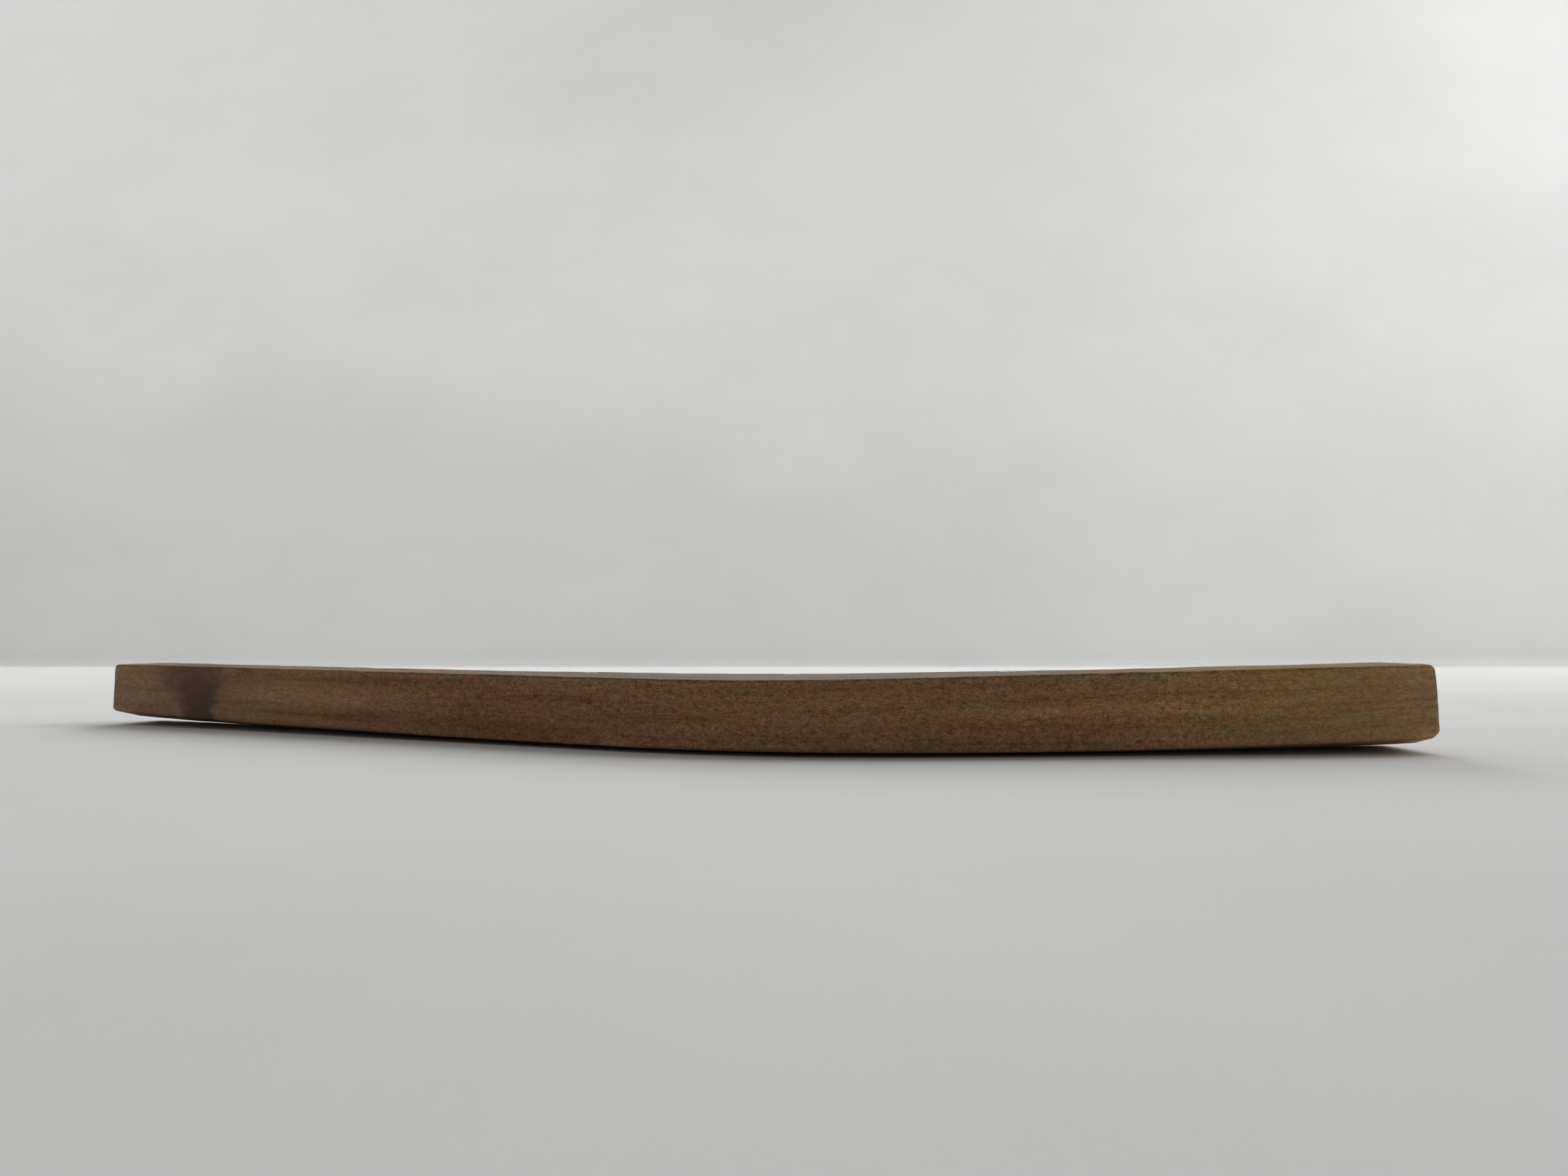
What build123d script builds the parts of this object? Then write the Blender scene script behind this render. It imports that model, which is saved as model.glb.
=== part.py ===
from build123d import *
import math
import os

# A drawknife with a one-piece wooden stock: a crescent of wood whose two arms are the grips,
# with a short straight blade let into its hollow side and held by three riveted pins.
# Millimetres, +Z up. X runs along the tool. The stock's back, its convex side, faces -Y,
# and the cutting edge faces +Y, towards the user.
# The origin is on the belly, at the elbow, in the middle of the stock's width there.

# Stock, seen from above
REACH_LEFT = 234.0  # from the elbow to the left end
REACH_RIGHT = 166.0  # from the elbow to the right end
ELBOW_WIDTH = 42.0
BACK_RADIUS = 160.0  # round of the back at the elbow
ARM_ANGLE = 15.5  # how far each arm sweeps towards the user, in degrees
LEDGE_LENGTH = 164.0  # straight stretch of the hollow side, which holds the blade
LEDGE_ROUND = 70.0  # round where the ledge runs into an arm
GRIP_WIDTH_LEFT = 20.0  # across the left arm at its end
GRIP_WIDTH_RIGHT = 26.0  # across the right arm at its end
SPARE = 12.0  # wood beyond the end cuts, sawn off

# Stock, seen from the side
BELLY_FLAT_LEFT = 30.0  # the flat that the tool lies on, left of the elbow
BELLY_FLAT_RIGHT = 50.0
BELLY_RADIUS_LEFT = 6500.0  # the belly lifts very slowly towards each end
BELLY_RADIUS_RIGHT = 2250.0
BEVEL_RISE = 1.4  # a long low bevel lifts the belly along the back
BEVEL_WIDTH = 10.0
BEVEL_STEP = 20.0  # spacing of the points that the bevel's line passes through
TOP_AT_ELBOW = 18.75  # where the straight tops of the two arms would meet
TOP_AT_LEFT = 19.7
TOP_AT_RIGHT = 22.6
TOP_RADIUS = 1700.0  # the round that joins them
END_LEAN = 5.0  # the end cuts lean inwards at the top, in degrees

# Rounded arrises of the stock
ARRIS_TOP = 1.0
ARRIS_BELLY = 0.9
ARRIS_END = 1.0

# Blade
BLADE_LENGTH = 150.0
BLADE_WIDTH = 32.0
BLADE_THICK = 2.4
BLADE_IN_STOCK = 15.0
BLADE_UNDERSIDE = 8.2  # height of the blade's flat side above the belly
GRIND_ANGLE = 26.0
EDGE_LAND = 0.15  # thickness left at the cutting edge
BLADE_CORNER = 4.0  # rounded front corners

# Blade pins
PIN_RADIUS = 2.0
PIN_SPACING = 58.0
PIN_FROM_LEDGE = 8.0
PIN_RECESS = 0.3  # the lower end stays inside the belly
PIN_DOME = 0.35  # the peened head stands this far out of the top
PINS = {"blade_pin_left": -PIN_SPACING, "blade_pin_middle": 0.0, "blade_pin_right": PIN_SPACING}

back_y = -ELBOW_WIDTH / 2
ledge_y = ELBOW_WIDTH / 2
half_ledge = LEDGE_LENGTH / 2
pin_y = ledge_y - PIN_FROM_LEDGE
arm_angle = math.radians(ARM_ANGLE)
elbow_half = BACK_RADIUS * math.sin(arm_angle)
elbow_rise = BACK_RADIUS * (1 - math.cos(arm_angle))
left_slope = (TOP_AT_LEFT - TOP_AT_ELBOW) / REACH_LEFT
right_slope = (TOP_AT_RIGHT - TOP_AT_ELBOW) / REACH_RIGHT
top_half = TOP_RADIUS * (left_slope + right_slope) / 2  # half the length of the top's round


def back_at(reach):
    """Y of the back, at this distance from the elbow along X: round at the elbow, then straight."""
    if reach < elbow_half:
        return back_y + BACK_RADIUS - math.sqrt(BACK_RADIUS**2 - reach**2)
    return back_y + elbow_rise + (reach - elbow_half) * math.tan(arm_angle)


def hollow_at(reach, arm_reach, grip_width):
    """Y of the hollow side, which runs straight from the ledge to the arm's end."""
    end_y = back_at(arm_reach) + grip_width / math.cos(arm_angle)
    return ledge_y + (end_y - ledge_y) * (reach - half_ledge) / (arm_reach - half_ledge)


def belly_at(x):
    """Height of the belly, which is flat at the elbow and lifts slowly towards each end."""
    flat, radius = (BELLY_FLAT_RIGHT, BELLY_RADIUS_RIGHT) if x > 0 else (BELLY_FLAT_LEFT, BELLY_RADIUS_LEFT)
    return max(0.0, abs(x) - flat) ** 2 / (2 * radius)


def bevel_at(x):
    """Height of the bevel's surface where it would cross the middle plane, y = 0."""
    return belly_at(x) + BEVEL_RISE + back_at(abs(x)) * BEVEL_RISE / BEVEL_WIDTH


def top_at(x):
    """Height of the stock's top: a straight rise along each arm, joined by a round at the elbow."""
    slope = right_slope if x > 0 else left_slope
    straight = TOP_AT_ELBOW + slope * abs(x)
    inside = max(0.0, top_half - abs(x))
    return straight + inside**2 / (2 * TOP_RADIUS)


def end_cut(side, reach):
    """The saw cut at an arm's end, square to the arm and leaning inwards at the top."""
    lean = math.radians(END_LEAN)
    level = math.cos(lean)
    outward = (side * math.cos(arm_angle) * level, math.sin(arm_angle) * level, math.sin(lean))
    return Plane(origin=(side * reach, back_at(reach), 0), z_dir=outward)


# Stock: the outline from above, cut to the profile from the side, then sawn at both ends
far_left = REACH_LEFT + SPARE
far_right = REACH_RIGHT + SPARE

with BuildPart() as stock:
    with BuildSketch() as outline:
        with BuildLine():
            ThreePointArc(
                (-elbow_half, back_y + elbow_rise),
                (0, back_y),
                (elbow_half, back_y + elbow_rise),
            )
            Polyline(
                (elbow_half, back_y + elbow_rise),
                (far_right, back_at(far_right)),
                (far_right, hollow_at(far_right, REACH_RIGHT, GRIP_WIDTH_RIGHT)),
                (half_ledge, ledge_y),
                (-half_ledge, ledge_y),
                (-far_left, hollow_at(far_left, REACH_LEFT, GRIP_WIDTH_LEFT)),
                (-far_left, back_at(far_left)),
                (-elbow_half, back_y + elbow_rise),
            )
        make_face()
        ledge_ends = outline.vertices().filter_by(lambda v: abs(v.Y - ledge_y) < 0.01)
        fillet(ledge_ends, LEDGE_ROUND)
    extrude(amount=2 * ELBOW_WIDTH)

    with BuildSketch(Plane.XZ) as profile:
        with BuildLine():
            left_turn = math.degrees((far_left - BELLY_FLAT_LEFT) / BELLY_RADIUS_LEFT)
            right_turn = math.degrees((far_right - BELLY_FLAT_RIGHT) / BELLY_RADIUS_RIGHT)
            belly_left = JernArc((-BELLY_FLAT_LEFT, 0), (-1, 0), BELLY_RADIUS_LEFT, -left_turn)
            Line((-BELLY_FLAT_LEFT, 0), (BELLY_FLAT_RIGHT, 0))
            belly_right = JernArc((BELLY_FLAT_RIGHT, 0), (1, 0), BELLY_RADIUS_RIGHT, right_turn)
            top_left = ((belly_left @ 1).X, top_at((belly_left @ 1).X))
            top_right = ((belly_right @ 1).X, top_at((belly_right @ 1).X))
            Polyline(belly_left @ 1, top_left, (0, TOP_AT_ELBOW), top_right, belly_right @ 1)
        make_face()
        fillet(profile.vertices().sort_by_distance((0, 0, TOP_AT_ELBOW))[0], TOP_RADIUS)
    extrude(amount=4 * ELBOW_WIDTH, both=True, mode=Mode.INTERSECT)

    # Bevel along the back: its surface rises towards the back at the same slope all along
    with BuildSketch(Plane.XZ):
        with BuildLine():
            steps_left = math.ceil(far_left / BEVEL_STEP)
            steps_right = math.ceil(far_right / BEVEL_STEP)
            stations = [BEVEL_STEP * step for step in range(-steps_left, steps_right + 1)]
            bevel_line = Spline([(x, bevel_at(x)) for x in stations])
            Polyline(
                bevel_line @ 1,
                ((bevel_line @ 1).X, 4 * ELBOW_WIDTH),
                ((bevel_line @ 0).X, 4 * ELBOW_WIDTH),
                bevel_line @ 0,
            )
        make_face()
    slope_direction = (0, BEVEL_WIDTH, -BEVEL_RISE)
    extrude(amount=4 * ELBOW_WIDTH, dir=slope_direction, both=True, mode=Mode.INTERSECT)

    split(bisect_by=end_cut(-1, REACH_LEFT), keep=Keep.BOTTOM)
    split(bisect_by=end_cut(1, REACH_RIGHT), keep=Keep.BOTTOM)

    # Arrises: the upright corners of the ends first, then all round the top and the belly
    upright = stock.edges().filter_by(lambda e: abs((e % 0.5).Z) > 0.9)
    end_corners = upright.sort_by(lambda e: abs((e @ 0.5).X))[-4:]
    fillet(end_corners, ARRIS_END)
    fillet(stock.faces().sort_by(Axis.Z)[-1].edges(), ARRIS_TOP)
    belly = stock.faces().filter_by(lambda f: f.normal_at().Z < -0.9)
    belly_joins = [e for e in belly.edges() if len([f for f in belly if e in f.edges()]) > 1]
    fillet([e for e in belly.edges() if e not in belly_joins], ARRIS_BELLY)

    # Mortise for the blade, open along the ledge
    with BuildSketch(Plane.XY.offset(BLADE_UNDERSIDE)):
        with Locations((0, ledge_y)):
            Rectangle(BLADE_LENGTH, 2 * BLADE_IN_STOCK)
    extrude(amount=BLADE_THICK, mode=Mode.SUBTRACT)

    # Pin holes, right through
    with BuildSketch():
        with Locations(*[(x, pin_y) for x in PINS.values()]):
            Circle(PIN_RADIUS)
    extrude(amount=2 * ELBOW_WIDTH, mode=Mode.SUBTRACT)

# Blade: flat below, with one bevel above, ground along the whole front
with BuildPart() as blade:
    with BuildSketch(Plane.XY.offset(BLADE_UNDERSIDE)) as blank:
        with Locations((0, ledge_y - BLADE_IN_STOCK + BLADE_WIDTH / 2)):
            Rectangle(BLADE_LENGTH, BLADE_WIDTH)
        fillet(blank.vertices().group_by(Axis.Y)[-1], BLADE_CORNER)
    extrude(amount=BLADE_THICK)
    edge_y = ledge_y - BLADE_IN_STOCK + BLADE_WIDTH
    grind_run = (BLADE_THICK - EDGE_LAND) / math.tan(math.radians(GRIND_ANGLE))
    with BuildSketch(Plane.YZ):
        with BuildLine():
            Polyline(
                (edge_y, BLADE_UNDERSIDE + EDGE_LAND),
                (edge_y, BLADE_UNDERSIDE + BLADE_THICK),
                (edge_y - grind_run, BLADE_UNDERSIDE + BLADE_THICK),
                close=True,
            )
        make_face()
    extrude(amount=BLADE_LENGTH, both=True, mode=Mode.SUBTRACT)
    with BuildSketch():
        with Locations(*[(x, pin_y) for x in PINS.values()]):
            Circle(PIN_RADIUS)
    extrude(amount=2 * ELBOW_WIDTH, mode=Mode.SUBTRACT)


def make_pin(x):
    """One steel pin: a straight shank through stock and blade, with a low peened dome on top."""
    shank_top = top_at(x)
    dome_radius = (PIN_RADIUS**2 + PIN_DOME**2) / (2 * PIN_DOME)
    with BuildPart() as pin:
        with BuildSketch(Plane(origin=(x, pin_y, 0), x_dir=(1, 0, 0), z_dir=(0, -1, 0))):
            with BuildLine():
                Polyline(
                    (0, shank_top + PIN_DOME),
                    (0, PIN_RECESS),
                    (PIN_RADIUS, PIN_RECESS),
                    (PIN_RADIUS, shank_top),
                )
                RadiusArc((PIN_RADIUS, shank_top), (0, shank_top + PIN_DOME), -dome_radius)
            make_face()
        revolve(axis=Axis((x, pin_y, 0), (0, 0, 1)))
    return pin


os.makedirs("parts", exist_ok=True)

stock.part.label = "stock"
export_step(stock.part, "parts/stock.step")

blade.part.label = "blade"
export_step(blade.part, "parts/blade.step")

for name, x in PINS.items():
    pin = make_pin(x)
    pin.part.label = name
    export_step(pin.part, f"parts/{name}.step")
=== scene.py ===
"""A drawknife with a one-piece wooden stock, lying on a pale sweep.

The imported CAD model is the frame: X runs along the tool, +Y points to the cutting edge and +Z up.
The stock, the blade and the pins are rebuilt here as finer meshes of the same size, in the same places.
Only the arms' bellies differ: along the hollow side they hang up to 2 mm lower than in the CAD model.
Lengths are in metres, and a texture's coordinates and wavelengths are in millimetres.
"""
import math

import bpy
import numpy as np
from mathutils import Matrix, Vector, noise


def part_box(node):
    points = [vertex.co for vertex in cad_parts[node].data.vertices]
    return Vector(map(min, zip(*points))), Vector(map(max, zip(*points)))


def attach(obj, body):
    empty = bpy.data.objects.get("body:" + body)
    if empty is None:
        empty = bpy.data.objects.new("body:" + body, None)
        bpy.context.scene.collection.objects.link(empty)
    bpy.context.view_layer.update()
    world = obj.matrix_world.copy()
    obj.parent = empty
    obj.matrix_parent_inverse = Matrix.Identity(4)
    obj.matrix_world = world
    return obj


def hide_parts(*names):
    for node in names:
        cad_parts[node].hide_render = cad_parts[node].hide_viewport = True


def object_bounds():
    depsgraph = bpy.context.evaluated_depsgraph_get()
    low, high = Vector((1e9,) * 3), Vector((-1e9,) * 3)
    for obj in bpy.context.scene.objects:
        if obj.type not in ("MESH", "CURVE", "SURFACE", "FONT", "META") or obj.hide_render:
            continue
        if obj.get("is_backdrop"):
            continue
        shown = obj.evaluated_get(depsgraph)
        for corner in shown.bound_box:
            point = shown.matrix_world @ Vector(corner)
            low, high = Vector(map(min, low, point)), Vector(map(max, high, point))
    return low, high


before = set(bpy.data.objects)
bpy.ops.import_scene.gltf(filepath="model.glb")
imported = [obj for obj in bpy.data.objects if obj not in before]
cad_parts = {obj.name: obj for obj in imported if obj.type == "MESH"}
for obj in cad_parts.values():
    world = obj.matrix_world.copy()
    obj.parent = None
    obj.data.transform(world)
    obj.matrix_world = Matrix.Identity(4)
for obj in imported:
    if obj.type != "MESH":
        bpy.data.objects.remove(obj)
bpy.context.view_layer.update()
MM = 0.001
SEED = 7

blade_low, blade_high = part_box("blade")
PIN_NODES = ("blade_pin_left", "blade_pin_middle", "blade_pin_right")

# ---------------------------------------------------------------- the stock's shape
REACH_LEFT = 234.0 * MM
REACH_RIGHT = 166.0 * MM
ELBOW_WIDTH = 42.0 * MM
BACK_RADIUS = 160.0 * MM
ARM_ANGLE = math.radians(15.5)
LEDGE_HALF = 82.0 * MM
LEDGE_ROUND = 70.0 * MM
GRIP_WIDTH_LEFT = 20.0 * MM
GRIP_WIDTH_RIGHT = 26.0 * MM
BELLY_FLAT_LEFT = 30.0 * MM
BELLY_FLAT_RIGHT = 50.0 * MM
BELLY_RADIUS_LEFT = 6.5
BELLY_RADIUS_RIGHT = 2.25
BEVEL_RISE = 1.4 * MM
BEVEL_WIDTH = 10.0 * MM
BELLY_CROWN = 2.0 * MM  # how much lower than the CAD model the arms' bellies are along the hollow side
CROWN_LIFT = 2.4 * MM  # the crown is full where the belly has risen this far
TOP_AT_ELBOW = 18.75 * MM
TOP_AT_LEFT = 19.7 * MM
TOP_AT_RIGHT = 22.6 * MM
TOP_RADIUS = 1.7
END_LEAN = math.radians(5.0)
LEAN_FADE = 14.0 * MM  # the lean of the end cuts dies out over this length

BACK_Y = -ELBOW_WIDTH / 2
LEDGE_Y = ELBOW_WIDTH / 2
ELBOW_HALF = BACK_RADIUS * math.sin(ARM_ANGLE)
ELBOW_RISE = BACK_RADIUS * (1 - math.cos(ARM_ANGLE))
SLOPE_LEFT = (TOP_AT_LEFT - TOP_AT_ELBOW) / REACH_LEFT
SLOPE_RIGHT = (TOP_AT_RIGHT - TOP_AT_ELBOW) / REACH_RIGHT
TOP_HALF = TOP_RADIUS * (SLOPE_LEFT + SLOPE_RIGHT) / 2


def back_at(x):
    """Y of the stock's convex back."""
    reach = np.abs(x)
    elbow = BACK_Y + BACK_RADIUS - np.sqrt(np.maximum(BACK_RADIUS**2 - reach**2, 0))
    arm = BACK_Y + ELBOW_RISE + (reach - ELBOW_HALF) * math.tan(ARM_ANGLE)
    return np.where(reach < ELBOW_HALF, elbow, arm)


def hollow_arm(reach, arm_reach, grip_width):
    """Y of one side of the hollow: the ledge, a round, and a straight run to the arm's end."""
    end_y = float(back_at(arm_reach)) + grip_width / math.cos(ARM_ANGLE)
    slope = (end_y - LEDGE_Y) / (arm_reach - LEDGE_HALF)
    angle = math.atan(slope)
    tangent = LEDGE_ROUND * math.tan(angle / 2)
    into = reach - (LEDGE_HALF - tangent)
    rounded = LEDGE_Y + LEDGE_ROUND - np.sqrt(np.maximum(LEDGE_ROUND**2 - into**2, 0))
    straight = LEDGE_Y + slope * (reach - LEDGE_HALF)
    y = np.where(into < LEDGE_ROUND * math.sin(angle), rounded, straight)
    return np.where(into < 0, LEDGE_Y, y)


def hollow_at(x):
    """Y of the stock's hollow side."""
    left = hollow_arm(np.abs(x), REACH_LEFT, GRIP_WIDTH_LEFT)
    right = hollow_arm(np.abs(x), REACH_RIGHT, GRIP_WIDTH_RIGHT)
    return np.where(x < 0, left, right)


def belly_at(x, y):
    """Height of the belly: flat at the elbow, lifting towards the ends and along the back."""
    left = np.maximum(-x - BELLY_FLAT_LEFT, 0) ** 2 / (2 * BELLY_RADIUS_LEFT)
    right = np.maximum(x - BELLY_FLAT_RIGHT, 0) ** 2 / (2 * BELLY_RADIUS_RIGHT)
    share = np.clip((y - back_at(x)) / (hollow_at(x) - back_at(x)), 0, 1)
    bevel = np.maximum(BEVEL_RISE * (1 - (y - back_at(x)) / BEVEL_WIDTH), 0)
    crown = BELLY_CROWN * share * np.clip((left + right) / CROWN_LIFT, 0, 1)
    return left + right + bevel - crown


def top_at(x):
    """Height of the stock's top: two straight rises joined by a round at the elbow."""
    slope = np.where(x > 0, SLOPE_RIGHT, SLOPE_LEFT)
    inside = np.maximum(TOP_HALF - np.abs(x), 0)
    return TOP_AT_ELBOW + slope * np.abs(x) + inside**2 / (2 * TOP_RADIUS)


# ---------------------------------------------------------------- closed slabs with rounded edges
def stations(size, rim, rim_cuts, count):
    """Distances from one side of a slab to the other: close together inside both rims, even between."""
    size = np.asarray(size, float)[..., None]
    near = np.linspace(0, rim, rim_cuts + 1)
    inner = np.linspace(0, 1, count + 1)[1:-1]
    middle = rim + inner * (size - 2 * rim)
    return np.concatenate([near + 0 * size, middle, size - near[::-1]], axis=-1)


def slab_faces(shape):
    """The lattice points on a block's surface, as index triples, and the quads that join them."""
    number = -np.ones(shape, int)
    outside = np.zeros(shape, bool)
    for axis in range(3):
        end = [slice(None)] * 3
        end[axis] = [0, shape[axis] - 1]
        outside[tuple(end)] = True
    number[outside] = np.arange(outside.sum())
    quads = []
    for axis in range(3):
        for last in (0, 1):
            face = np.moveaxis(number, axis, 0)[-1 if last else 0]
            corners = (face[:-1, :-1], face[1:, :-1], face[1:, 1:], face[:-1, 1:])
            quad = np.stack([c.ravel() for c in corners], axis=1)
            flipped = bool(last) == (axis == 1)
            quads.append(quad[:, ::-1] if flipped else quad)
    return np.argwhere(outside), np.concatenate(quads)


def rounded(distances, sizes, radius):
    """Moves surface points of a block inwards so that its edges and corners get this radius."""
    near = [np.minimum(d, s - d) for d, s in zip(distances, sizes)]
    inner = [np.maximum(n, radius) for n in near]
    offset = [n - i for n, i in zip(near, inner)]
    length = np.sqrt(sum(o * o for o in offset))
    length = np.where(length > 0, length, 1)
    moved = [i + o * radius / length for i, o in zip(inner, offset)]
    return [np.where(d <= s / 2, m, s - m) for d, s, m in zip(distances, sizes, moved)]


def make_piece(name, points, faces, material, nodes, sharp):
    """A smooth-shaded mesh that rides on the frame and stands for these CAD nodes."""
    mesh = bpy.data.meshes.new(name)
    mesh.from_pydata(points.tolist(), [], faces.tolist() if hasattr(faces, "tolist") else faces)
    mesh.validate()
    mesh.shade_smooth()
    mesh.set_sharp_from_angle(angle=math.radians(sharp))
    mesh.materials.append(material)
    piece = bpy.data.objects.new(name, mesh)
    bpy.context.scene.collection.objects.link(piece)
    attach(piece, "root")
    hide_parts(*nodes)
    return piece


def noise_at(points, wavelengths, seed):
    """Smooth noise from -1 to 1 at each point, with its own wavelength along each axis."""
    shift = Vector((seed * 17.3, seed * 5.1, seed * 9.7))
    scaled = points / np.array(wavelengths)
    return np.array([noise.noise(Vector(p) + shift) for p in scaled])


# ---------------------------------------------------------------- the stock's mesh
STOCK_RIM = 3.0 * MM  # the mesh is finer this close to every edge
RIM_CUTS = 7
CUTS_ALONG = 396
CUTS_ACROSS = 36
CUTS_UP = 16
ARRIS_TOP = 0.6 * MM
ARRIS_BELLY = 1.2 * MM
CORNER_ROUND = 2.6 * MM  # the right end's lower corner is worn rounder
CORNER_EXTRA = 0.9 * MM  # and its upper corner a little
CORNER_REACH = 5.0 * MM


def stock_points():
    """The stock's surface, with the lattice's faces."""
    back_x = stations(REACH_LEFT + REACH_RIGHT, STOCK_RIM, RIM_CUTS, CUTS_ALONG) - REACH_LEFT
    side = np.sign(back_x)
    arm = np.where(back_x < 0, REACH_LEFT, REACH_RIGHT)
    grip = np.where(back_x < 0, GRIP_WIDTH_LEFT, GRIP_WIDTH_RIGHT)
    narrowing = 1 - grip * math.sin(ARM_ANGLE) / arm  # the hollow side is shorter than the back

    def across(x, hollow_x):
        return np.hypot(hollow_x - x, hollow_at(hollow_x) - back_at(x))

    widths = across(back_x, back_x * narrowing)
    b = stations(widths, STOCK_RIM, RIM_CUTS, CUTS_ACROSS)
    triples, faces = slab_faces((len(back_x), b.shape[1], 2 * RIM_CUTS + CUTS_UP + 1))
    i, j, k = triples.T
    x0, b0, width = back_x[i], b[i, j], widths[i]

    def in_plan(x, share):
        hollow_x = x * narrowing[i]
        return x + (hollow_x - x) * share, back_at(x) + (hollow_at(hollow_x) - back_at(x)) * share

    x, y = in_plan(x0, b0 / width)
    height = top_at(x) - belly_at(x, y)
    c0 = stations(height, STOCK_RIM, RIM_CUTS, CUTS_UP)[np.arange(len(k)), k]

    length = (REACH_LEFT + REACH_RIGHT) / math.cos(ARM_ANGLE)
    a0 = (x0 + REACH_LEFT) / math.cos(ARM_ANGLE)
    upper = np.clip(c0 / height, 0, 1)
    radius = ARRIS_BELLY + (ARRIS_TOP - ARRIS_BELLY) * upper
    to_right = length - a0
    worn = np.exp(-((to_right / CORNER_REACH) ** 2))
    radius = radius + worn * ((CORNER_ROUND - ARRIS_BELLY) * (1 - upper) ** 2 + CORNER_EXTRA * upper**2)
    a, b1, c = rounded((a0, b0, c0), (np.full_like(a0, length), width, height), radius)

    x = a * math.cos(ARM_ANGLE) - REACH_LEFT
    x, y = in_plan(x, b1 / width)
    low, high = belly_at(x, y), top_at(x)
    z = low + (high - low) * c / height
    to_end = np.minimum(a, length - a)
    lean = z * math.tan(END_LEAN) * np.clip(1 - to_end / LEAN_FADE, 0, 1)
    x = x - side[i] * math.cos(ARM_ANGLE) * lean
    y = y - math.sin(ARM_ANGLE) * lean
    return np.stack([x, y, z], axis=1), faces


def cutter(name, low, high):
    """A plain box that cuts the mortise."""
    corners = [(x, y, z) for z in (low[2], high[2]) for y in (low[1], high[1]) for x in (low[0], high[0])]
    faces = [(0, 2, 3, 1), (4, 5, 7, 6), (0, 1, 5, 4), (2, 6, 7, 3), (0, 4, 6, 2), (1, 3, 7, 5)]
    mesh = bpy.data.meshes.new(name)
    mesh.from_pydata(corners, [], faces)
    piece = bpy.data.objects.new(name, mesh)
    bpy.context.scene.collection.objects.link(piece)
    return piece


def round_cutter(name, centre, radius, low, high, sides=40):
    """An upright cylinder that cuts a pin hole."""
    turns = [2 * math.pi * s / sides for s in range(sides)]
    ring = [(centre[0] + radius * math.cos(t), centre[1] + radius * math.sin(t)) for t in turns]
    corners = [(x, y, z) for z in (low, high) for x, y in ring]
    faces = [tuple(range(sides))[::-1], tuple(range(sides, 2 * sides))]
    faces += [(s, (s + 1) % sides, sides + (s + 1) % sides, sides + s) for s in range(sides)]
    mesh = bpy.data.meshes.new(name)
    mesh.from_pydata(corners, [], faces)
    piece = bpy.data.objects.new(name, mesh)
    bpy.context.scene.collection.objects.link(piece)
    return piece


def cut(piece, tool):
    """Takes the tool's shape out of the piece."""
    modifier = piece.modifiers.new("cut", "BOOLEAN")
    modifier.operation = "DIFFERENCE"
    modifier.solver = "EXACT"
    modifier.object = tool
    graph = bpy.context.evaluated_depsgraph_get()
    mesh = bpy.data.meshes.new_from_object(piece.evaluated_get(graph))
    piece.modifiers.clear()
    old = piece.data
    piece.data = mesh
    bpy.data.meshes.remove(old)
    bpy.data.objects.remove(tool)


def coordinates(mesh):
    """A mesh's points as an array."""
    points = np.empty(len(mesh.vertices) * 3, np.float32)
    mesh.vertices.foreach_get("co", points)
    return points.reshape(-1, 3).astype(float)


def directions(mesh):
    """The outward direction at each of a mesh's points."""
    normals = np.empty(len(mesh.vertices) * 3, np.float32)
    mesh.vertices.foreach_get("normal", normals)
    return normals.reshape(-1, 3).astype(float)


def move_points(mesh, points):
    mesh.vertices.foreach_set("co", points.astype(np.float32).ravel())
    mesh.update()


SHAVING = 0.10 * MM  # how deep the hand tool's marks are
SHAVING_WAVES = (34 * MM, 5 * MM, 4.5 * MM)
LUMP = 0.05 * MM
LUMP_WAVES = (7 * MM, 3 * MM, 3 * MM)
CALM = 1.5 * MM  # the marks get shallower this close to the belly, which lies on the floor
CALM_SHARE = 0.3  # how much of their depth is left there
DENTS = 46
DENT_SIZE = (0.5 * MM, 1.5 * MM)
DENT_DEPTH = (0.08 * MM, 0.3 * MM)
DENT_STRETCH = (1.8, 1.0, 1.0)
EDGE_SHARE = 0.6  # of the dents, on the back rather than the hollow side, and above rather than below


def work_surface(mesh):
    """Shallow shaving marks along the grain and small dents along the arrises."""
    points, normals = coordinates(mesh), directions(mesh)
    shaved = noise_at(points, SHAVING_WAVES, SEED) * SHAVING
    lumpy = noise_at(points, LUMP_WAVES, SEED + 1) * LUMP
    depth = shaved + lumpy
    flat = np.clip((points[:, 2] - belly_at(points[:, 0], points[:, 1])) / CALM, 0, 1)
    depth = depth * (CALM_SHARE + (1 - CALM_SHARE) * flat)
    random = np.random.default_rng(SEED)
    x = random.uniform(-REACH_LEFT, REACH_RIGHT, DENTS)
    at_back = random.random(DENTS) < EDGE_SHARE
    y = np.where(at_back, back_at(x), hollow_at(x))
    z = np.where(random.random(DENTS) < EDGE_SHARE, top_at(x), belly_at(x, y))
    reach = random.uniform(*DENT_SIZE, DENTS)
    deep = random.uniform(*DENT_DEPTH, DENTS)
    for centre, size, dent in zip(np.stack([x, y, z], axis=1), reach, deep):
        away = (points - centre) / (np.array(DENT_STRETCH) * size)
        depth -= dent * np.exp(-((away**2).sum(axis=1)))
    move_points(mesh, points + normals * depth[:, None])


def store(mesh, name, values):
    """Keeps one number or one vector for each point, for the material to read."""
    kind = "FLOAT" if values.ndim == 1 else "FLOAT_VECTOR"
    attribute = mesh.attributes.new(name, kind, "POINT")
    attribute.data.foreach_set("value" if values.ndim == 1 else "vector", values.astype(np.float32).ravel())


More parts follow.
